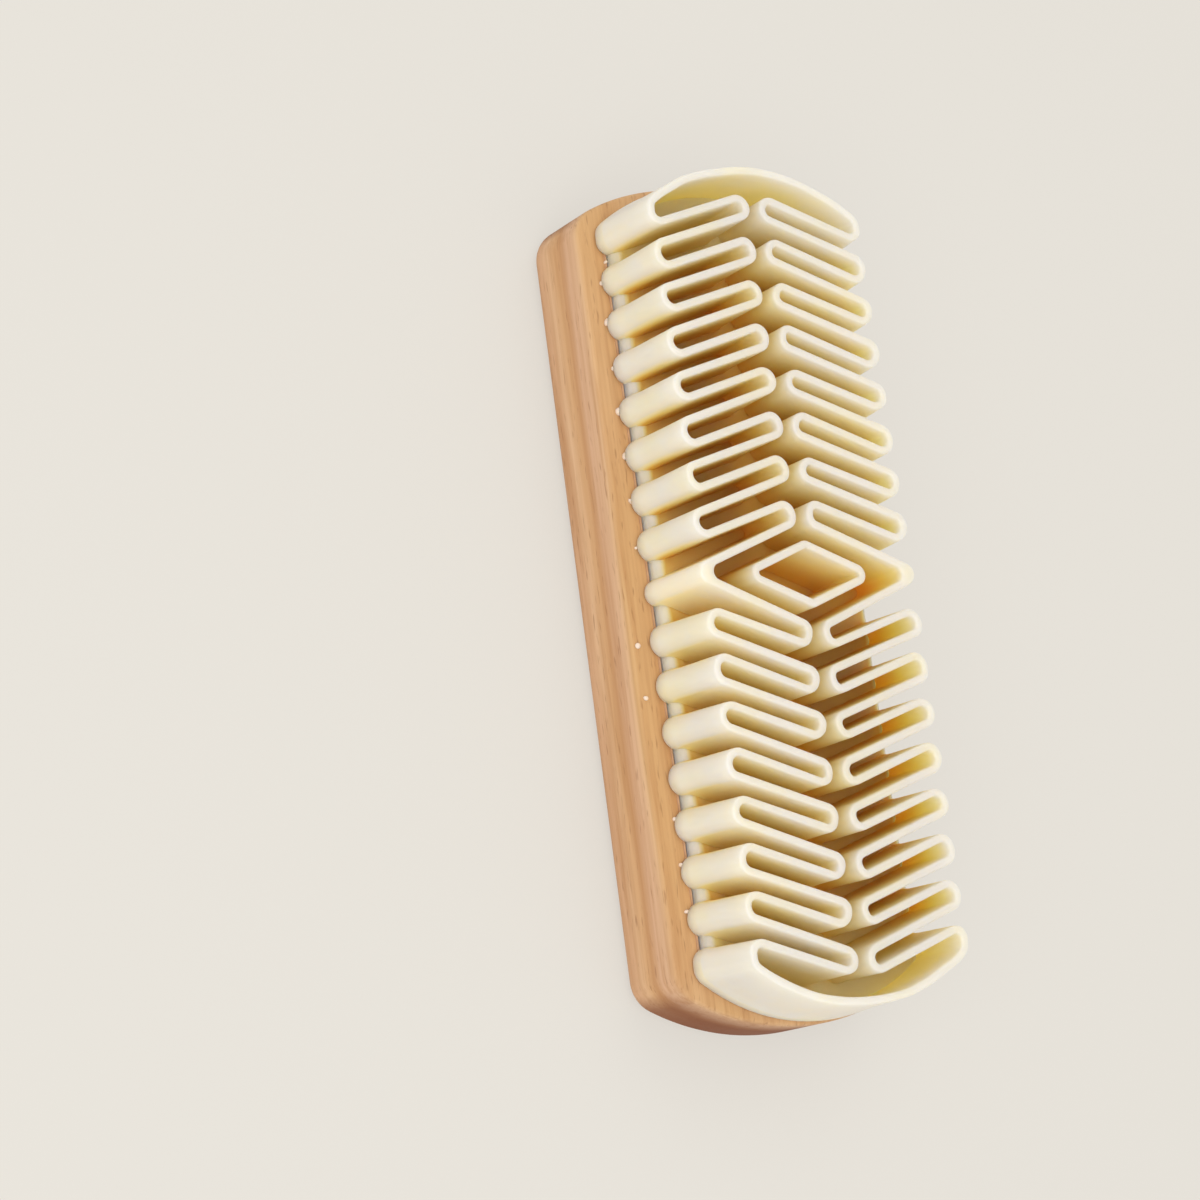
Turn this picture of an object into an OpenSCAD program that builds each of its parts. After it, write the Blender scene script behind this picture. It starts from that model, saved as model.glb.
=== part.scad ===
// Suede brush: a beech block with a moulded crepe rubber pad bonded to its face.
// It lies on its wooden back with the pad upwards. X runs across it and Y along it.
// The pad is a base plate with one thin wall on it, folded to and fro into a herringbone,
// and a small diamond-shaped wall that stands alone at the middle.

/* [Beech block] */
// Length of the block, over its bowed ends
block_len = 148.4; // [130:0.2:180]
// Width of the block
block_w = 50.4; // [46:0.2:60]
// Thickness of the block
block_t = 16; // [10:0.5:24]
// Radius of the bow at each end of the block
block_end_r = 47.5; // [42:0.5:80]
// Corner radius of the block, seen from above
block_corner_r = 6; // [4:0.5:9]
// Radius of the rounding round the back of the block
back_round = 3.5; // [1:0.25:3.75]
// Chamfer round the front of the block
front_chamfer = 0.5; // [0.2:0.1:1.2]

/* [Adhesive] */
// Thickness of the adhesive film between the block and the pad
film_t = 0.3; // [0.1:0.05:0.8]

/* [Pad] */
// Mean ledge of bare wood beside the feet of the folds, over both long sides
side_ledge = 1.2; // [0.5:0.1:4]
// How far the pad is bonded off the block's middle line, so that one ledge is wider
pad_shift = 2; // [0:0.1:3]
// Ledge of bare wood past the pad, at each end
end_ledge = 0.9; // [0.5:0.1:4]
// Radius of the pad's end walls, on their outside
pad_end_r = 37; // [32:0.5:42]
// Height of the pad at its two ends
pad_h = 15.1; // [10:0.1:20]
// How much higher the pad is at mid-length
pad_crown = 0.8; // [0.2:0.1:2]
// Thickness of the base plate
plate_t = 2.7; // [1.5:0.1:5]
// How far the outer folds lean in from their foot to their rim
side_lean = 1.4; // [0.2:0.1:2.5]
// How far the plate's edge lies inside the foot of the outer folds
plate_inset = 1.8; // [0.5:0.1:2.5]

/* [Folded wall] */
// Thickness of the wall
wall = 1.4; // [1:0.1:1.8]
// Width of the slots inside the inner folds, open at the pad's edge
inner_slot = 2.1; // [1.6:0.1:3]
// Width of the slots inside the outer folds, open to the middle
outer_slot = 2.55; // [1.8:0.05:3.4]
// Gap along the middle, between the left and right inner folds
mid_gap = 2.2; // [1:0.1:4]
// Slope of the legs to the pad's width
leg_angle = 18.6; // [12:0.2:24]
// Distance from mid-length to the centre of the first inner fold
first_fold = 10.25; // [9.5:0.25:12]
// Where the middle legs' lines would meet, past the outer folds
mid_reach = 1.5; // [0.5:0.1:2.5]
// Radius that rounds the slot between the middle legs, where they meet
mid_slot_r = 1.4; // [0.8:0.1:1.8]
// Least room between the last inner fold's centre and the end of the pad
end_room = 7.6; // [7.2:0.1:12]
// Least length of the wall's outer run at the pad's corners, from the last leg to the end wall
corner_room = 3.4; // [3.2:0.1:6]

/* [Diamond] */
// Slope of the diamond's sides to the pad's width
diamond_angle = 21.2; // [18:0.2:30]
// Clear gap between the diamond and the first inner folds
diamond_gap = 2.2; // [1.6:0.1:3]
// Rounding of the diamond's corners, on the wall's centre line
diamond_corner_r = 0.9; // [0.8:0.1:1.4]

/* [Hidden] */
// Steps in a rounded corner, and in a bowed end
corner_steps = 6;
bow_steps = 12;
// Flat steps in the pad's crown, an odd number so that the middle one is level
crown_steps = 15;
// Heights of the stack
film_z = block_t;
pad_z = block_t + film_t;
pad_top = pad_h + pad_crown;
// Where the block and the pad lie across the brush, which is centred over all
overhang = max(pad_shift - side_ledge, 0);
block_x = -overhang / 2;
pad_x = block_x + pad_shift;
// The pad's half sizes at its foot, and across the rims of its outer folds
pad_half_w = block_w / 2 - side_ledge;
pad_half_len = block_len / 2 - end_ledge;
rim_half_w = pad_half_w - side_lean;
// Radii of the two kinds of fold, on the wall's centre line
inner_r = (inner_slot + wall) / 2;
outer_r = (outer_slot + wall) / 2;
// The folds repeat at this distance along the pad
pitch = 2 * (inner_r + outer_r) / cos(leg_angle);
// Centres of the folds, from the middle line
inner_x = (mid_gap + wall) / 2 + inner_r;
outer_x = rim_half_w - wall / 2 - outer_r;
// As many inner folds as leave room at the pad's end and at its corners
corner_x = pad_half_w - wall / 2;
corner_y = bow_y(corner_x, pad_end_r - wall / 2, pad_half_len - wall / 2);
corner_limit = corner_y - corner_room - inner_r / cos(leg_angle) + (corner_x - inner_x) * tan(leg_angle);
folds = 1 + floor((min(pad_half_len - end_room, corner_limit) - first_fold) / pitch);
// A leg runs outwards along leg_dir, and leg_up points across it
leg_dir = [cos(leg_angle), -sin(leg_angle)];
leg_up = [sin(leg_angle), cos(leg_angle)];

// Unit vector from a to b, and the unit vector to the left of a direction
function heading(a, b) = let (d = [b[0] - a[0], b[1] - a[1]]) d / norm(d);
function left_of(d) = [-d[1], d[0]];

// One corner of a closed path, moved out by grow and rounded where its radius says so
function corner(before, here, after, grow) =
    let (
        d1 = heading(before, here),
        d2 = heading(here, after),
        n1 = left_of(d1),
        n2 = left_of(d2),
        miter = (n1 + n2) / (1 + n1 * n2),
        turn = atan2(d1[0] * d2[1] - d1[1] * d2[0], d1 * d2),
        side = sign(turn),
        point = [here[0], here[1]],
        centre = point + side * here[2] * miter,
        r = max(here[2] + side * grow, 0.05),
        start = atan2(-side * n1[1], -side * n1[0])
    )
    here[2] == 0 ? [point - grow * miter] :
    [for (i = [0 : corner_steps])
        let (a = start + turn * i / corner_steps) centre + r * [cos(a), sin(a)]];

// A point to a hundred-thousandth of a millimetre, so that points on an axis lie exactly on it
function snapped(p) = [for (v = p) round(v * 100000) / 100000];

// A closed path of [x, y, radius] corners, listed anticlockwise, as points moved out by grow
function outline(path, grow) =
    let (n = len(path))
    [for (i = [0 : n - 1])
        each [for (p = corner(path[(i + n - 1) % n], path[i], path[(i + 1) % n], grow)) snapped(p)]];

function turned_over(list) = [for (i = [len(list) - 1 : -1 : 0]) list[i]];
function mirrored(list, sx, sy) = [for (p = list) [sx * p[0], sy * p[1], p[2]]];

// A quarter path and its first corner on the X axis, repeated in all four quarters
function four_quarters(first, quarter, apex) = [
    first, each quarter,
    apex, each turned_over(mirrored(quarter, -1, 1)),
    [-first[0], 0, first[2]], each mirrored(quarter, -1, -1),
    [0, -apex[1], apex[2]], each turned_over(mirrored(quarter, 1, -1))
];

// Height along Y of a bowed end of radius r and half length half_len, at x
function bow_y(x, r, half_len) = half_len - r + sqrt(r * r - x * x);

// The bow's points from x to the middle, leaving out both ends
function bow(x, r, half_len) =
    let (a = acos(x / r))
    [for (i = [1 : bow_steps - 1])
        let (b = a + (90 - a) * i / bow_steps) [r * cos(b), half_len - r + r * sin(b), 0]];

// A rectangle with bowed ends and rounded corners
function bowed_path(half_w, half_len, end_r, corner_r) =
    let (quarter = [[half_w, bow_y(half_w, end_r, half_len), corner_r], each bow(half_w, end_r, half_len)])
    four_quarters([half_w, 0, 0], quarter, [0, half_len, 0]);

// Centre of inner fold k, which holds the slot that opens at the pad's edge
function inner_centre(k) = [inner_x, first_fold + k * pitch];

// The two corners that turn the wall round inner fold k
function inner_fold(k) =
    let (c = inner_centre(k) - inner_r * leg_dir, r = 0.94 * inner_r)
    [[each c - inner_r * leg_up, r], [each c + inner_r * leg_up, r]];

// The two corners that turn the wall round the outer fold after inner fold k, reach further out
function outer_fold(k, reach) =
    let (
        c = inner_centre(k) + [0, pitch / 2] + (outer_x - inner_x) / leg_dir[0] * leg_dir,
        e = c + (outer_r + reach) * leg_dir
    )
    [[each e - outer_r * leg_up, outer_r], [each e + outer_r * leg_up, outer_r]];

// The last leg runs out under the end wall and turns back into it
function end_fold(reach) =
    let (
        x = rim_half_w - wall / 2 + reach,
        leg_y = inner_centre(folds - 1)[1] + (inner_r - (x - inner_x) * sin(leg_angle)) / cos(leg_angle),
        r = pad_end_r - wall / 2,
        half_len = pad_half_len - wall / 2
    )
    [[x, leg_y, outer_r * 0.8], [x, bow_y(x, r, half_len), outer_r], each bow(x, r, half_len)];

// The wall's centre line: in and out over all the folds of a quarter, then round the end
function wall_path(reach, mid_r) =
    let (
        quarter = [
            for (k = [0 : folds - 1]) each [each inner_fold(k), if (k < folds - 1) each outer_fold(k, reach)],
            each end_fold(reach)
        ]
    )
    four_quarters([mid_x + reach, 0, mid_r], quarter, [0, pad_half_len - wall / 2, 0]);

// The middle legs meet at mid_x, and the radius outside them brings their rim to rim_half_w
mid_x = rim_half_w + mid_reach;
mid_leg = heading(inner_fold(0)[0], [mid_x, 0]);
mid_cut = -mid_leg[1];
mid_rim_r = (mid_x + wall / 2 / mid_cut - rim_half_w) / (1 / mid_cut - 1);

// The diamond's half height comes from the gap that it keeps from the first inner folds
diamond_half_len = first_fold - 2 * inner_r - wall / 2 - diamond_gap + 1.3;
diamond_path = [
    [diamond_half_len / tan(diamond_angle), 0, diamond_corner_r],
    [0, diamond_half_len, diamond_corner_r],
    [-diamond_half_len / tan(diamond_angle), 0, diamond_corner_r],
    [0, -diamond_half_len, diamond_corner_r]
];

// A flat shape raised to the pad's rims, which are crowned along the pad in shallow steps
module raised() {
    reach = pad_half_len + 1;
    crown = [for (i = [0 : crown_steps])
        let (y = reach * (1 - 2 * i / crown_steps)) [y, pad_top - pad_crown * pow(y / pad_half_len, 2)]];
    intersection() {
        linear_extrude(pad_top + 1)
            children();
        rotate([90, 0, 90])
            linear_extrude(block_w, center = true)
                polygon([[-reach, -1], [reach, -1], each crown]);
    }
}

// The sloping sides that the outer folds keep to
module leaning_sides() {
    rotate([90, 0, 0])
        linear_extrude(2 * pad_half_len + 2, center = true)
            polygon([[-pad_half_w, 0], [pad_half_w, 0], [rim_half_w, pad_top], [-rim_half_w, pad_top]]);
}

// Half of the block's section, rounded at the back and chamfered at the front
module block_section(half) {
    polygon([
        [0, 0], [half - back_round, 0], [half - back_round, back_round], [half, back_round],
        [half, block_t - front_chamfer], [half - front_chamfer, block_t], [0, block_t]
    ]);
    translate([half - back_round, back_round])
        circle(r = back_round, $fn = 72);
}

// Everything behind one bowed end of the block
module bowed_end() {
    translate([0, block_len / 2 - block_end_r, 0]) {
        rotate_extrude($fn = 360)
            block_section(block_end_r);
        translate([-block_w, -2 * block_len, 0])
            cube([2 * block_w, 2 * block_len, block_t]);
    }
}

// The block is what its long section, its two bowed ends and its rounded corners have in common
module handle_block() {
    corner_y = bow_y(block_w / 2, block_end_r, block_len / 2);
    peak_y = corner_y + block_w / 2 * tan(asin(block_w / 2 / block_end_r));
    corners = four_quarters([block_w / 2, 0, 0], [[block_w / 2, corner_y, block_corner_r]], [0, peak_y, 0]);
    color("#d3aa7e")
        translate([block_x, 0, 0]) intersection() {
            linear_extrude(block_t)
                polygon(outline(corners, 0));
            rotate([90, 0, 0])
                linear_extrude(block_len + 2, center = true) {
                    block_section(block_w / 2);
                    mirror([1, 0])
                        block_section(block_w / 2);
                }
            bowed_end();
            mirror([0, 1, 0])
                bowed_end();
        }
}

// The plate's outline, which the film under it shares
plate_path = bowed_path(pad_half_w - plate_inset, pad_half_len, pad_end_r, 3);

module adhesive_film() {
    color("#efe4c8")
        translate([pad_x, 0, film_z])
            linear_extrude(film_t)
                polygon(outline(plate_path, 0));
}

module rubber_pad() {
    color("#e9e2cf")
        translate([pad_x, 0, pad_z]) {
            linear_extrude(plate_t)
                polygon(outline(plate_path, 0));
            intersection() {
                raised()
                    difference() {
                        polygon(outline(wall_path(side_lean, mid_rim_r - wall / 2), wall / 2));
                        polygon(outline(wall_path(0, mid_slot_r + wall / 2), -wall / 2));
                    }
                leaning_sides();
            }
            raised()
                difference() {
                    polygon(outline(diamond_path, wall / 2));
                    polygon(outline(diamond_path, -wall / 2));
                }
        }
}

handle_block();
adhesive_film();
rubber_pad();
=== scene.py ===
import math
import random

import bpy
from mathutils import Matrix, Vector


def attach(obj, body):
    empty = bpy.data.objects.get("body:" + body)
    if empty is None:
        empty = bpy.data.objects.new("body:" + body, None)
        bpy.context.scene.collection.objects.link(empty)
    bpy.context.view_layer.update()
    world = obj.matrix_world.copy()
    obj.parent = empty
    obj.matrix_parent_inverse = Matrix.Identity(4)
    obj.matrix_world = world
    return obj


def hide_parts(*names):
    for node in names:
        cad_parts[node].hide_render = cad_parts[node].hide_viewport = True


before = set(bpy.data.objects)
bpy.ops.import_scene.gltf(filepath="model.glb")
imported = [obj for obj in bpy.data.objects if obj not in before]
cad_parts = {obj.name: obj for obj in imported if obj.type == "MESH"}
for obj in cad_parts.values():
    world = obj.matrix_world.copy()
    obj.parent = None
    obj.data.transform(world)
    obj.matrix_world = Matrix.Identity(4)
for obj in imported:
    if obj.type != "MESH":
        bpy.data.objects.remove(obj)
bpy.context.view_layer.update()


# Camera
# The brush is seen from above its left side, a little below mid-length, and rolled so that
# its length stands nearly upright in the picture.
camera_data = bpy.data.cameras.new("camera")
camera_data.sensor_width = 36
camera_data.lens = 91.57
camera = bpy.data.objects.new("camera", camera_data)
camera.location = (-0.31052, -0.10455, 0.42987)
camera.rotation_euler = (math.radians(16.474), math.radians(-32.237), math.radians(-8.675))
bpy.context.collection.objects.link(camera)
bpy.context.scene.camera = camera


# Beech handle block
# A planed beech bar, sawn to a bow at both ends, with its back edge rounded over on a
# router table, its face edge just eased, and then sanded and waxed.
# Sizes here are in millimetres, and the scene is in metres.
mm = 0.001

block_x = -0.4
block_half_w = 25.2
block_half_len = 74.2
block_thick = 16.0
block_end_r = 47.5
block_corner_r = 6.0
block_back_round = 3.5
block_face_round = 0.6

# The beech's colour by height in the block, as bands along its sides. The lighter stop at 15.2 mm
# is a painted highlight along the eased face edge.
beech_height_tones = [(0.0, "#CA9F7A"), (4.0, "#D0A783"), (5.8, "#D9B38D"), (8.0, "#D0A579"),
                (9.8, "#C2946A"), (10.6, "#C89D78"), (11.6, "#D0A888"), (14.2, "#D3AC89"),
                (15.2, "#D9B289"), (15.9, "#CEA574")]
beech_dark = "#B07E4F"
beech_fleck = "#8A5C36"
# The end grain's redder colour, darkened towards the back face with painted shade.
beech_end_grain_and_shade = "#7E4728"

# How far the height bands sway up and down, each pattern's width across the grain, and its scale
# along the grain, where a small one draws it out.
height_sway = 0.6
sway_width = 11.1
sway_along = 0.12
band_width = 2.38
band_along = 0.045
fibre_width = 0.667
fibre_along = 0.03
fleck_width = 0.526
fleck_along = 0.14
# The end grain's redder tint, with painted shade that darkens it towards the back face, starts
# below the first height and is full below the second.
end_grain_shade_from = 15.5
end_grain_shade_full = 9.0


def four_quarters(first, quarter, tip):
    """A quarter outline, with its corner on the X axis and its tip on the Y axis, all round."""
    def flipped(sx, sy):
        return [(sx * x, sy * y, r) for x, y, r in quarter]
    return ([first] + quarter + [tip] + flipped(-1, 1)[::-1] + [(-first[0], 0, first[2])]
            + flipped(-1, -1) + [(0, -tip[1], tip[2])] + flipped(1, -1)[::-1])


def bowed_outline(half_w, half_len, end_r, corner_r):
    """A bar's outline, as points: straight sides, rounded corners and bowed ends."""
    bow_centre = half_len - end_r
    round_x = half_w - corner_r
    round_y = bow_centre + math.sqrt((end_r - corner_r) ** 2 - round_x ** 2)
    meet = math.atan2(round_y - bow_centre, round_x)
    corner_steps = 14
    bow_steps = 40
    quarter = []
    for i in range(corner_steps + 1):
        angle = meet * i / corner_steps
        quarter.append((round_x + corner_r * math.cos(angle),
                        round_y + corner_r * math.sin(angle), 0))
    for i in range(1, bow_steps):
        angle = meet + (math.pi / 2 - meet) * i / bow_steps
        quarter.append((end_r * math.cos(angle), bow_centre + end_r * math.sin(angle), 0))
    return [(x, y) for x, y, r in four_quarters((half_w, 0, 0), quarter, (0, half_len, 0))]


def linear(hex_colour):
    """An sRGB hex colour as linear RGBA."""
    channels = [int(hex_colour[i:i + 2], 16) / 255 for i in (1, 3, 5)]
    return tuple(c / 12.92 if c <= 0.04045 else ((c + 0.055) / 1.055) ** 2.4
                 for c in channels) + (1,)


def add_node(material, kind, inputs=None, **settings):
    """Add a node to a material, with its settings, its values and its links."""
    node = material.node_tree.nodes.new(kind)
    for name, value in settings.items():
        setattr(node, name, value)
    for socket, value in (inputs or {}).items():
        if isinstance(value, bpy.types.NodeSocket):
            material.node_tree.links.new(value, node.inputs[socket])
        else:
            node.inputs[socket].default_value = value
    return node


def edit_only(piece, select_mode):
    """Select one object alone and open it in edit mode with nothing in it selected."""
    bpy.ops.object.select_all(action="DESELECT")
    piece.select_set(True)
    bpy.context.view_layer.objects.active = piece
    bpy.ops.object.mode_set(mode="EDIT")
    bpy.ops.mesh.select_mode(type=select_mode)
    bpy.ops.mesh.select_all(action="DESELECT")


def select_edges_at(piece, height):
    """Select the edges that lie level at a height, in millimetres."""
    bpy.ops.object.mode_set(mode="OBJECT")
    mesh = piece.data
    for edge in mesh.edges:
        edge.select = all(abs(mesh.vertices[v].co.z - height * mm) < 1e-6 for v in edge.vertices)
    bpy.ops.object.mode_set(mode="EDIT")


# A disc primitive is drawn out to the block's outline, raised to its thickness, and bevelled
# round the back and round the face.
block_points = bowed_outline(block_half_w, block_half_len, block_end_r, block_corner_r)
bpy.ops.object.select_all(action="DESELECT")
bpy.ops.mesh.primitive_circle_add(vertices=len(block_points), radius=block_half_w * mm,
                                  fill_type="NGON")
block = bpy.context.object
block.name = "beech_block"
for vertex, (x, y) in zip(block.data.vertices, block_points):
    vertex.co = ((x + block_x) * mm, y * mm, 0)
edit_only(block, "FACE")
bpy.ops.mesh.select_all(action="SELECT")
bpy.ops.mesh.extrude_region_move(TRANSFORM_OT_translate={"value": (0, 0, block_thick * mm)})
bpy.ops.mesh.select_all(action="DESELECT")
bpy.ops.mesh.select_mode(type="EDGE")
select_edges_at(block, 0)
bpy.ops.mesh.bevel(offset=block_back_round * mm, segments=10, clamp_overlap=False)
bpy.ops.mesh.select_all(action="DESELECT")
select_edges_at(block, block_thick)
bpy.ops.mesh.bevel(offset=block_face_round * mm, segments=4, clamp_overlap=False)
bpy.ops.mesh.select_all(action="SELECT")
bpy.ops.mesh.normals_make_consistent(inside=False)
bpy.ops.object.mode_set(mode="OBJECT")
bpy.ops.object.shade_smooth_by_angle(angle=math.radians(40))

# Beech, sanded and waxed: long bands by height along the sides, with a painted highlight along
# the eased face edge, fine fibres, short dark flecks a few millimetres long, redder end grain
# darkened towards the back with painted shade, and a soft satin gloss. The fibres of real beech
# are finer than this, and are drawn as coarse as they need to be to show.
beech = bpy.data.materials.new("sanded waxed beech")
beech.use_nodes = True
beech_shader = beech.node_tree.nodes["Principled BSDF"]
place = add_node(beech, "ShaderNodeTexCoord")
parts = add_node(beech, "ShaderNodeSeparateXYZ", {0: place.outputs["Object"]})
along = add_node(beech, "ShaderNodeMapping",
                 {"Vector": place.outputs["Object"], "Scale": (0.5, sway_along, 1)})
sway = add_node(beech, "ShaderNodeTexNoise",
                {"Vector": along.outputs[0], "Scale": 1 / (sway_width * mm), "Detail": 1})
swayed = add_node(beech, "ShaderNodeMapRange",
                  {"Value": sway.outputs["Fac"], "From Min": 0.3, "From Max": 0.7,
                   "To Min": -height_sway * mm, "To Max": height_sway * mm})
swayed_height = add_node(beech, "ShaderNodeMath", {0: parts.outputs["Z"], 1: swayed.outputs[0]},
                   operation="ADD")
height_share = add_node(beech, "ShaderNodeMapRange",
                       {"Value": swayed_height.outputs[0], "From Max": block_thick * mm})
# Colour by height. The lighter stop at 15.2 mm is a painted highlight along the eased face edge.
height_tones = add_node(beech, "ShaderNodeValToRGB", {"Fac": height_share.outputs[0]})
height_tone_stops = height_tones.color_ramp.elements
height_tone_stops[1].color = linear(beech_height_tones[-1][1])
height_tone_stops[0].color = linear(beech_height_tones[0][1])
for height, colour in beech_height_tones[1:-1]:
    height_tone_stops.new(height / block_thick).color = linear(colour)
band_place = add_node(beech, "ShaderNodeMapping",
                      {"Vector": place.outputs["Object"], "Scale": (1, band_along, 1)})
bands = add_node(beech, "ShaderNodeTexNoise",
                 {"Vector": band_place.outputs[0], "Scale": 1 / (band_width * mm),
                  "Detail": 4, "Roughness": 0.6})
band_share = add_node(beech, "ShaderNodeMapRange",
                      {"Value": bands.outputs["Fac"], "From Min": 0.48, "From Max": 0.7,
                       "To Max": 0.6})
banded = add_node(beech, "ShaderNodeMix",
                  {0: band_share.outputs[0], 6: height_tones.outputs[0], 7: linear(beech_dark)},
                  data_type="RGBA")
fibre_place = add_node(beech, "ShaderNodeMapping",
                       {"Vector": place.outputs["Object"], "Scale": (1, fibre_along, 1)})
fibres = add_node(beech, "ShaderNodeTexNoise",
                  {"Vector": fibre_place.outputs[0], "Scale": 1 / (fibre_width * mm),
                   "Detail": 3})
fibre_share = add_node(beech, "ShaderNodeMapRange",
                       {"Value": fibres.outputs["Fac"], "From Min": 0.38, "From Max": 0.7,
                        "To Max": 0.3})
fibred = add_node(beech, "ShaderNodeMix",
                  {0: fibre_share.outputs[0], 6: banded.outputs[2], 7: linear(beech_dark)},
                  data_type="RGBA")
fleck_place = add_node(beech, "ShaderNodeMapping",
                       {"Vector": place.outputs["Object"], "Scale": (1, fleck_along, 1)})
flecks = add_node(beech, "ShaderNodeTexNoise",
                  {"Vector": fleck_place.outputs[0], "Scale": 1 / (fleck_width * mm),
                   "Detail": 1})
fleck_share = add_node(beech, "ShaderNodeMapRange",
                       {"Value": flecks.outputs["Fac"], "From Min": 0.64, "From Max": 0.76,
                        "To Max": 0.45})
flecked = add_node(beech, "ShaderNodeMix",
                   {0: fleck_share.outputs[0], 6: fibred.outputs[2], 7: linear(beech_fleck)},
                   data_type="RGBA")
facing = add_node(beech, "ShaderNodeSeparateXYZ", {0: place.outputs["Normal"]})
facing_end = add_node(beech, "ShaderNodeMath", {0: facing.outputs["Y"]}, operation="ABSOLUTE")
end_mask = add_node(beech, "ShaderNodeMapRange",
                    {"Value": facing_end.outputs[0], "From Min": 0.45, "From Max": 0.95,
                     "To Max": 0.95})
# Painted shade: the end grain darkens towards the back face.
end_grain_shade_low = add_node(beech, "ShaderNodeMapRange",
                   {"Value": parts.outputs["Z"], "From Min": end_grain_shade_from * mm,
                    "From Max": end_grain_shade_full * mm, "To Min": 0.1})
end_grain_shade_share = add_node(beech, "ShaderNodeMath", {0: end_mask.outputs[0], 1: end_grain_shade_low.outputs[0]},
                     operation="MULTIPLY")
end_grain_shaded = add_node(beech, "ShaderNodeMix",
                       {0: end_grain_shade_share.outputs[0], 6: flecked.outputs[2], 7: linear(beech_end_grain_and_shade)},
                       data_type="RGBA")
fibre_bump = add_node(beech, "ShaderNodeBump",
                      {"Height": fibres.outputs["Fac"], "Strength": 0.15, "Distance": 0.2 * mm})
beech.node_tree.links.new(end_grain_shaded.outputs[2], beech_shader.inputs["Base Color"])
beech.node_tree.links.new(fibre_bump.outputs[0], beech_shader.inputs["Normal"])
beech_shader.inputs["Roughness"].default_value = 0.6
beech_shader.inputs["IOR"].default_value = 1.48
beech_shader.inputs["Specular IOR Level"].default_value = 0.22
block.data.materials.append(beech)
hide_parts("handle_block")
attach(block, "root")


# Adhesive film
# Contact adhesive brushed on the block and on the pad, which dries to a thin tan skin.
# Its solid keeps its shape, and only a line of it shows round the pad.
film_tan = "#D8B592"
film_brown = "#A87C5A"
film_mottle_width = 2.0

dried_adhesive = bpy.data.materials.new("dried contact adhesive")
dried_adhesive.use_nodes = True
film_shader = dried_adhesive.node_tree.nodes["Principled BSDF"]
film_place = add_node(dried_adhesive, "ShaderNodeTexCoord")
film_mottle = add_node(dried_adhesive, "ShaderNodeTexNoise",
                       {"Vector": film_place.outputs["Object"],
                        "Scale": 1 / (film_mottle_width * mm), "Detail": 2})
film_tint = add_node(dried_adhesive, "ShaderNodeMix",
                     {0: film_mottle.outputs["Fac"], 6: linear(film_tan), 7: linear(film_brown)},
                     data_type="RGBA")
dried_adhesive.node_tree.links.new(film_tint.outputs[2], film_shader.inputs["Base Color"])
film_shader.inputs["Roughness"].default_value = 0.35
film_shader.inputs["IOR"].default_value = 1.5
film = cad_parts["adhesive_film"]
film.data.materials.clear()
film.data.materials.append(dried_adhesive)


# Crepe rubber pad
# One moulding of natural crepe rubber: a base plate, one thin wall folded to and fro into a
# herringbone that closes on itself round the pad, and a diamond-shaped wall at the middle.
# It is bonded a little to the right of the block's middle line.
pad_x = 1.6
pad_foot_z = 16.3
pad_half_len = 73.0
pad_end_r = 37.0
plate_thick = 2.7
plate_round = 1.7
plate_half_w = 21.9
plate_half_len = 73.2
plate_corner_r = 3.0
rim_end_z = 31.4
rim_crown = 0.8
rim_half_w = 22.6
side_lean = 1.1
end_lean = 0.5
wall = 1.4
wall_wave = 0.1
inner_slot = 2.1
outer_slot = 2.55
mid_gap = 2.2
mid_reach = 1.5
leg_angle = math.radians(18.6)
first_fold = 10.25
fold_count = 8
diamond_half_len = 5.15
diamond_half_w = 13.28
diamond_corner_r = 1.15

inner_r = (inner_slot + wall) / 2
outer_r = (outer_slot + wall) / 2
fold_pitch = 2 * (inner_r + outer_r) / math.cos(leg_angle)
inner_x = (mid_gap + wall) / 2 + inner_r
outer_x = rim_half_w - wall / 2 - outer_r
mid_x = rim_half_w + mid_reach
leg_dir = (math.cos(leg_angle), -math.sin(leg_angle))
leg_up = (math.sin(leg_angle), math.cos(leg_angle))

# The wall's section, as distance out from its centre line and height: first up from the pad's
# foot, with a fillet onto the plate and a slow taper, and then down from the rounded rim.
foot_section = [(0.62, 0.0), (0.88, 0.35), (0.98, 0.9), (0.98, 2.4), (0.95, 2.75), (0.84, 3.3),
                (0.77, 4.6), (0.75, 7.0), (0.73, 9.5), (0.71, 12.0)]
rim_section = [(0.70, -0.5), (0.66, -0.24), (0.55, -0.08), (0.36, 0.0)]

# Painted shade on the cream rubber, by how deep in a slot it lies, from 0 in the open to 1 at the
# bottom. The pale, gold and amber stand in for shade that light bouncing in the slots turns
# golden.
rubber_rim = "#E6DDCD"
rubber_pale_shade = "#F7E0AC"
rubber_gold_shade = "#F8D482"
rubber_amber_shade = "#EAB454"
pale_shade_at = 0.17
gold_shade_at = 0.5
amber_shade_at = 0.92
plate_edge_shade = 0.06

# Depth rises from the first height to the second below the rim. The outside of the folds' tips
# gets little painted shade and the outside of the ends none. The last slots keep less of it, as
# painted light through the thin end walls.
depth_start = -1.5
depth_full = 14.0
fold_tip_in = 19.9
fold_tip_out = 21.6
tip_shade_share = 0.05
end_wall_open = 1.0
end_light_from = 54
end_light_to = 65
end_shade_share = 0.35

# Widths of the faint cloudiness in the rubber and of its skin's grain.
cloud_width = 11.1
skin_grain = 0.625


def heading(start, end):
    """Unit vector from one corner of an outline to the next."""
    length = math.dist(start[:2], end[:2])
    return (end[0] - start[0]) / length, (end[1] - start[1]) / length


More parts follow.
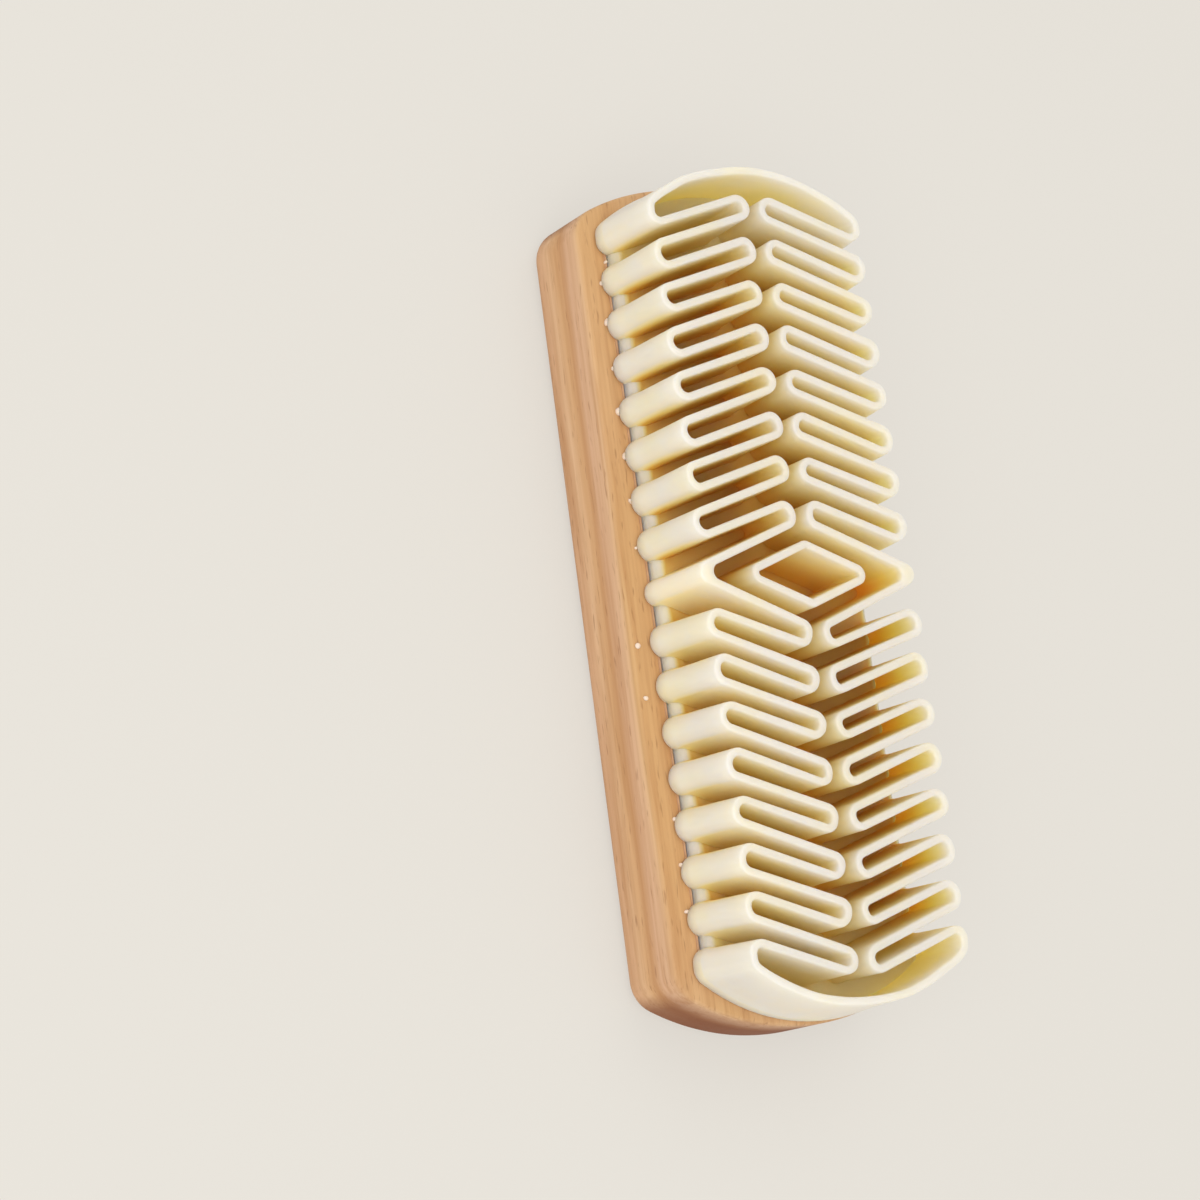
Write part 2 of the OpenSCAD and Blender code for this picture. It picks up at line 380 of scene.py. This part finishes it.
def outline(corners, grow):
    """Points of a closed outline of (x, y, radius) corners, anticlockwise, moved out by grow."""
    turn_steps = 8
    least_r = 0.05
    points = []
    for i, (x, y, radius) in enumerate(corners):
        d1 = heading(corners[i - 1], corners[i])
        d2 = heading(corners[i], corners[(i + 1) % len(corners)])
        n1 = (-d1[1], d1[0])
        n2 = (-d2[1], d2[0])
        share = 1 + n1[0] * n2[0] + n1[1] * n2[1]
        miter = ((n1[0] + n2[0]) / share, (n1[1] + n2[1]) / share)
        if radius == 0:
            points.append((x - grow * miter[0], y - grow * miter[1]))
            continue
        turn = math.atan2(d1[0] * d2[1] - d1[1] * d2[0], d1[0] * d2[0] + d1[1] * d2[1])
        side = 1 if turn > 0 else -1
        centre = (x + side * radius * miter[0], y + side * radius * miter[1])
        r = max(radius + side * grow, least_r)
        start = math.atan2(-side * n1[1], -side * n1[0])
        for step in range(turn_steps + 1):
            angle = start + turn * step / turn_steps
            points.append((centre[0] + r * math.cos(angle), centre[1] + r * math.sin(angle)))
    return points


def bow_y(x, radius, half_len):
    """How far along the brush a bowed end reaches at x."""
    return half_len - radius + math.sqrt(radius * radius - x * x)


def bow(x, radius, half_len):
    """Corners along a bowed end, from x to the middle, leaving out both."""
    steps = 18
    first = math.acos(x / radius)
    angles = [first + (math.pi / 2 - first) * i / steps for i in range(1, steps)]
    return [(radius * math.cos(a), half_len - radius + radius * math.sin(a), 0) for a in angles]


def fold_corners(centre, out, turn_r, corner_r):
    """The two corners that turn the wall round a fold, at a distance out along the leg."""
    ex = centre[0] + out * leg_dir[0]
    ey = centre[1] + out * leg_dir[1]
    return [(ex + s * turn_r * leg_up[0], ey + s * turn_r * leg_up[1], corner_r) for s in (-1, 1)]


def wall_corners(low, lean, mid_r):
    """The folded wall's centre line at a height, where low is 0 at the rim and 1 at the foot.
    The outer folds and the ends lean out towards the foot, and mid_r rounds the middle fold."""
    # Each corner's radius is just under what the half turn round its fold has room for.
    reach = lean * low
    quarter = []
    for k in range(fold_count):
        centre = (inner_x, first_fold + k * fold_pitch)
        quarter += fold_corners(centre, -inner_r, inner_r, 0.94 * inner_r)
        if k < fold_count - 1:
            run = (outer_x - inner_x) / leg_dir[0]
            turned = (outer_x, centre[1] + fold_pitch / 2 + run * leg_dir[1])
            quarter += fold_corners(turned, outer_r + reach, outer_r, 0.98 * outer_r)
    x = rim_half_w - wall / 2 + reach
    last_y = first_fold + (fold_count - 1) * fold_pitch
    leg_y = last_y + (inner_r - (x - inner_x) * math.sin(leg_angle)) / math.cos(leg_angle)
    radius = pad_end_r - wall / 2
    half_len = pad_half_len - wall / 2 + end_lean * low
    quarter += [(x, leg_y, 0.8 * outer_r), (x, bow_y(x, radius, half_len), outer_r)]
    quarter += bow(x, radius, half_len)
    return four_quarters((mid_x + reach, 0, mid_r), quarter, (0, half_len, 0))


def rim_z(y):
    """Height of the rims, which are crowned along the pad."""
    return rim_end_z + rim_crown * (1 - (y / pad_half_len) ** 2)


def smooth(value, low, high):
    """0 below low, 1 above high, and a smooth step between."""
    t = min(max((value - low) / (high - low), 0), 1)
    return t * t * (3 - 2 * t)


def painted_end_light(y):
    """The share of its painted shade that a slot keeps, which drops near the ends as painted
    light through the thin end walls.
    """
    return 1 - (1 - end_shade_share) * smooth(abs(y), end_light_from, end_light_to)


def from_end(x, y):
    """How far in from the pad's bowed end a point lies."""
    bow_half_w = 24.0
    return bow_y(min(abs(x), bow_half_w), pad_end_r, pad_half_len) - abs(y)


def folded_mesh(name, outside, inside):
    """Loft the section round a pair of outlines and note each point's painted shade, by how deep
    in a slot it lies.
    The rims wave a little, as thin moulded walls do."""
    half = [(out, up, False) for out, up in foot_section]
    half += [(out, up, True) for out, up in rim_section]
    rings = [(outside, out, up, at_rim) for out, up, at_rim in half]
    rings += [(inside, -out, up, at_rim) for out, up, at_rim in half[::-1]]
    rise_height = rim_end_z - pad_foot_z
    points = []
    point_shades = []
    for shape, out, up, at_rim in rings:
        rise = 1.0 if at_rim else up / rise_height
        for x, y in outline(shape(1 - rise), out):
            top = rim_z(y)
            z = top + up if at_rim else pad_foot_z + up * (top - pad_foot_z) / rise_height
            flex = wall_wave * smooth(rise, 0.3, 1.0)
            px = x + flex * math.sin(0.61 * y + 0.9 * x)
            py = y + flex * math.sin(0.43 * y + 0.31 * x + 1.0)
            points.append(((px + pad_x) * mm, py * mm, z * mm))
            # Painted shade, by depth below the rim.
            point_shade = smooth(top - z, depth_start, depth_full) * painted_end_light(y)
            if out > 0:
                tip = smooth(abs(x) - side_lean * (1 - rise), fold_tip_in, fold_tip_out)
                point_shade *= 1 - (1 - tip_shade_share) * tip
                if from_end(x, y) < end_wall_open:
                    point_shade = 0.0
            point_shades.append(point_shade)
    n = len(points) // len(rings)
    faces = []
    for j in range(len(rings)):
        k = (j + 1) % len(rings)
        faces += [(j * n + i, j * n + (i + 1) % n, k * n + (i + 1) % n, k * n + i)
                  for i in range(n)]
    mesh = bpy.data.meshes.new(name)
    mesh.from_pydata(points, [], faces)
    mesh.attributes.new("painted_slot_shade", "FLOAT", "POINT").data.foreach_set("value", point_shades)
    made = bpy.data.objects.new(name, mesh)
    bpy.context.collection.objects.link(made)
    return made


# The fold at mid-length is a point on the X axis. Outside it is rounded so that its rim ends
# level with the other folds, and inside it is nearly sharp. The inside leans half as much as
# the outside, which thickens the wall towards its foot.
mid_cut = math.sin(math.atan2(first_fold - inner_r, mid_x - inner_x))
mid_outer_r = (mid_x + wall / 2 / mid_cut - rim_half_w) / (1 / mid_cut - 1) - wall / 2
mid_inner_r = 2.1
folded_wall = folded_mesh("folded_wall",
                          lambda low: wall_corners(low, side_lean, mid_outer_r),
                          lambda low: wall_corners(low, 0.5 * side_lean, mid_inner_r))

# The diamond wall stands upright, so its centre line is the same at any height.
diamond = [(diamond_half_w, 0, diamond_corner_r), (0, diamond_half_len, diamond_corner_r),
           (-diamond_half_w, 0, diamond_corner_r), (0, -diamond_half_len, diamond_corner_r)]
diamond_wall = folded_mesh("diamond_wall", lambda low: diamond, lambda low: diamond)

# The plate under the walls: its outline in rings, drawn in as they round over its top edge.
plate_rings = [(0.0, 0.0), (0.0, 0.5)]
for i in range(7):
    angle = math.radians(15 * i)
    plate_rings.append((plate_round * (1 - math.cos(angle)),
                        plate_thick - plate_round * (1 - math.sin(angle))))
plate_points = []
for inset, up in plate_rings:
    ring = bowed_outline(plate_half_w - inset, plate_half_len - inset, pad_end_r - inset,
                         plate_corner_r - inset)
    plate_points += [((x + pad_x) * mm, y * mm, (pad_foot_z + up) * mm) for x, y in ring]
around = len(ring)
plate_faces = []
for j in range(len(plate_rings) - 1):
    low = j * around
    high = low + around
    plate_faces += [(low + i, low + (i + 1) % around, high + (i + 1) % around, high + i)
                    for i in range(around)]
plate_faces.append(tuple(range(around)))
plate_faces.append(tuple(range(len(plate_points) - around, len(plate_points))))
plate_mesh = bpy.data.meshes.new("plate")
plate_mesh.from_pydata(plate_points, [], plate_faces)
plate = bpy.data.objects.new("plate", plate_mesh)
bpy.context.collection.objects.link(plate)

# The walls and the plate become one skin, so that light can soak through the whole moulding.
for part in (folded_wall, diamond_wall, plate):
    edit_only(part, "FACE")
    bpy.ops.mesh.select_all(action="SELECT")
    bpy.ops.mesh.normals_make_consistent(inside=False)
    bpy.ops.object.mode_set(mode="OBJECT")
pad = folded_wall
for part in (plate, diamond_wall):
    union = pad.modifiers.new("union", "BOOLEAN")
    union.operation = "UNION"
    union.solver = "MANIFOLD"
    union.object = part
    bpy.ops.object.select_all(action="DESELECT")
    pad.select_set(True)
    bpy.context.view_layer.objects.active = pad
    bpy.ops.object.modifier_apply(modifier=union.name)
    bpy.data.objects.remove(part)
bpy.ops.object.shade_smooth_by_angle(angle=math.radians(45))
pad.name = "crepe_rubber_pad"

# The plate brings no painted shade of its own: its top gets deep painted shade between the walls,
# and its edge, in the open, only a little.
plate_skin = 0.02
plate_side_in = 19.6
plate_side_out = 21.2
plate_end_in = 2.0
plate_end_out = 0.8
plate_top_from = 1.8
painted_slot_shades = pad.data.attributes["painted_slot_shade"].data
for vertex in pad.data.vertices:
    x, y, z = (value / mm for value in vertex.co)
    up = z - pad_foot_z
    if up < plate_thick + plate_skin:
        inside = 1 - smooth(abs(x - pad_x), plate_side_in, plate_side_out)
        inside *= smooth(from_end(x - pad_x, y), plate_end_out, plate_end_in)
        # The plate's top between the walls gets deep painted shade.
        plate_floor_shade = inside * smooth(up, plate_top_from, plate_thick) * painted_end_light(y)
        kept = painted_slot_shades[vertex.index].value
        painted_slot_shades[vertex.index].value = max(kept, plate_floor_shade, plate_edge_shade)

# Natural crepe rubber, moulded: cream and waxy, with painted shade in honey and amber deep in the
# slots, light that soaks in, and a fine matt skin. The skin's grain is drawn coarser than it is.
crepe = bpy.data.materials.new("moulded natural crepe rubber")
crepe.use_nodes = True
crepe_shader = crepe.node_tree.nodes["Principled BSDF"]
crepe_place = add_node(crepe, "ShaderNodeTexCoord")
painted_slot_shade = add_node(crepe, "ShaderNodeAttribute", attribute_name="painted_slot_shade")
cloud = add_node(crepe, "ShaderNodeTexNoise",
                 {"Vector": crepe_place.outputs["Object"], "Scale": 1 / (cloud_width * mm),
                  "Detail": 3})
cloud_shift = add_node(crepe, "ShaderNodeMapRange",
                       {"Value": cloud.outputs["Fac"], "From Min": 0.3, "From Max": 0.7,
                        "To Min": -0.05, "To Max": 0.06})
clouded_shade = add_node(crepe, "ShaderNodeMath",
                     {0: painted_slot_shade.outputs["Fac"], 1: cloud_shift.outputs[0]},
                     operation="ADD", use_clamp=True)
# Cream at the rim, then pale, gold and amber as painted shade deeper in the slots.
shade_ramp = add_node(crepe, "ShaderNodeValToRGB", {"Fac": clouded_shade.outputs[0]})
shade_stops = shade_ramp.color_ramp.elements
shade_stops[0].color = linear(rubber_rim)
shade_stops[1].position = amber_shade_at
shade_stops[1].color = linear(rubber_amber_shade)
shade_stops.new(pale_shade_at).color = linear(rubber_pale_shade)
shade_stops.new(gold_shade_at).color = linear(rubber_gold_shade)
skin = add_node(crepe, "ShaderNodeTexNoise",
                {"Vector": crepe_place.outputs["Object"], "Scale": 1 / (skin_grain * mm),
                 "Detail": 2})
skin_bump = add_node(crepe, "ShaderNodeBump",
                     {"Height": skin.outputs["Fac"], "Strength": 0.08, "Distance": 0.2 * mm})
crepe.node_tree.links.new(shade_ramp.outputs[0], crepe_shader.inputs["Base Color"])
crepe.node_tree.links.new(skin_bump.outputs[0], crepe_shader.inputs["Normal"])
crepe_shader.inputs["Roughness"].default_value = 0.48
crepe_shader.inputs["IOR"].default_value = 1.52
crepe_shader.inputs["Subsurface Weight"].default_value = 1.0
crepe_shader.inputs["Subsurface Radius"].default_value = (1.0, 0.86, 0.62)
crepe_shader.inputs["Subsurface Scale"].default_value = 8 * mm
pad.data.materials.clear()
pad.data.materials.append(crepe)
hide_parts("rubber_pad")
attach(pad, "root")


# Squeezed-out adhesive
# Small beads of the contact adhesive that were pressed out at the feet of a few folds and set
# there, milky and glossy. Each is a pressed-down ball, turned its own way.
# Each row is a bead's place across and along the pad, and its radius.
bead_places = [(-23.4, 55.4, 0.62), (-22.1, 59.3, 0.4), (-23.3, 48.4, 0.75), (-23.4, 40.0, 0.6),
               (-23.4, 32.3, 0.62), (-23.4, 24.4, 0.65), (-23.6, 16.4, 0.4), (-23.7, 8.2, 0.35),
               (-26.0, -8.8, 0.42), (-25.8, -17.8, 0.38), (-23.3, -38.4, 0.4),
               (-23.3, -46.1, 0.45), (-23.3, -53.9, 0.5), (22.4, 40.6, 0.45), (22.5, -25.5, 0.4)]
bead_milk = "#F2E4D6"
bead_shade = "#E3CDB8"
bead_cloud_width = 1.11
bead_foot_z = block_thick + 0.12

beads = []
random.seed(4)
for x, y, size in bead_places:
    bpy.ops.object.select_all(action="DESELECT")
    bpy.ops.mesh.primitive_uv_sphere_add(segments=16, ring_count=10, radius=size * mm)
    bead = bpy.context.object
    swell = [1 + 0.35 * random.uniform(-1, 1) for axis in range(3)]
    turned = random.uniform(0, math.pi)
    for vertex in bead.data.vertices:
        px, py, pz = (vertex.co[i] * swell[i] for i in range(3))
        pz *= 1.1 if pz > 0 else 0.4
        vertex.co = (px * math.cos(turned) - py * math.sin(turned) + (x + pad_x) * mm,
                     px * math.sin(turned) + py * math.cos(turned) + y * mm,
                     pz + bead_foot_z * mm)
    bpy.ops.object.shade_smooth()
    beads.append(bead)
bpy.ops.object.select_all(action="DESELECT")
for bead in beads:
    bead.select_set(True)
bpy.context.view_layer.objects.active = beads[0]
bpy.ops.object.join()
bead_piece = bpy.context.object
bead_piece.name = "adhesive_beads"
set_adhesive = bpy.data.materials.new("set adhesive beads")
set_adhesive.use_nodes = True
bead_shader = set_adhesive.node_tree.nodes["Principled BSDF"]
bead_place = add_node(set_adhesive, "ShaderNodeTexCoord")
bead_cloud = add_node(set_adhesive, "ShaderNodeTexNoise",
                      {"Vector": bead_place.outputs["Object"],
                       "Scale": 1 / (bead_cloud_width * mm)})
bead_tint = add_node(set_adhesive, "ShaderNodeMix",
                     {0: bead_cloud.outputs["Fac"], 6: linear(bead_milk), 7: linear(bead_shade)},
                     data_type="RGBA")
set_adhesive.node_tree.links.new(bead_tint.outputs[2], bead_shader.inputs["Base Color"])
bead_shader.inputs["Roughness"].default_value = 0.22
bead_shader.inputs["IOR"].default_value = 1.5
bead_shader.inputs["Subsurface Weight"].default_value = 0.4
bead_shader.inputs["Subsurface Radius"].default_value = (1.0, 0.8, 0.6)
bead_shader.inputs["Subsurface Scale"].default_value = 0.5 * mm
bead_piece.data.materials.append(set_adhesive)
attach(bead_piece, "root")


# Floor, light and background
# A plain pale floor under the block, a broad soft light high on the camera's side, a weaker
# one above the brush's far end, and an even pale surround.
floor_colour = "#E6E2DA"

bpy.ops.object.select_all(action="DESELECT")
bpy.ops.mesh.primitive_plane_add(size=6, location=(0, 0, 0))
floor = bpy.context.object
floor.name = "floor"

# Matt paper that the camera sees at a steadier brightness than the light alone gives.
paper = bpy.data.materials.new("matt paper floor")
paper.use_nodes = True
paper_shader = paper.node_tree.nodes["Principled BSDF"]
paper_shader.inputs["Base Color"].default_value = linear(floor_colour)
paper_shader.inputs["Roughness"].default_value = 0.9
seen = add_node(paper, "ShaderNodeLightPath")
even = add_node(paper, "ShaderNodeEmission", {"Color": linear(floor_colour), "Strength": 0.96})
seen_share = add_node(paper, "ShaderNodeMath", {0: seen.outputs["Is Camera Ray"], 1: 0.72},
                      operation="MULTIPLY")
paper_mix = add_node(paper, "ShaderNodeMixShader",
                     {0: seen_share.outputs[0], 1: paper_shader.outputs[0], 2: even.outputs[0]})
paper_out = paper.node_tree.nodes["Material Output"]
paper.node_tree.links.new(paper_mix.outputs[0], paper_out.inputs["Surface"])
floor.data.materials.append(paper)

# Each light's name, place, width and power in watts. Both point at the middle of the brush.
lights = [("key", (-0.5, -0.26, 0.66), 0.7, 3.2),
          ("fill", (0.05, 0.35, 0.8), 0.6, 0.9)]
for name, light_place, size, power in lights:
    light_data = bpy.data.lights.new(name, "AREA")
    light_data.size = size
    light_data.energy = power
    light = bpy.data.objects.new(name, light_data)
    light.location = light_place
    light.rotation_euler = Vector(light_place).to_track_quat("Z", "Y").to_euler()
    bpy.context.collection.objects.link(light)

world = bpy.context.scene.world
if world is None:
    world = bpy.data.worlds.new("studio")
    bpy.context.scene.world = world
world.use_nodes = True
surround = world.node_tree.nodes["Background"]
surround.inputs["Color"].default_value = (1.0, 0.98, 0.95, 1)
surround.inputs["Strength"].default_value = 0.79
bpy.context.scene.view_settings.view_transform = "Standard"
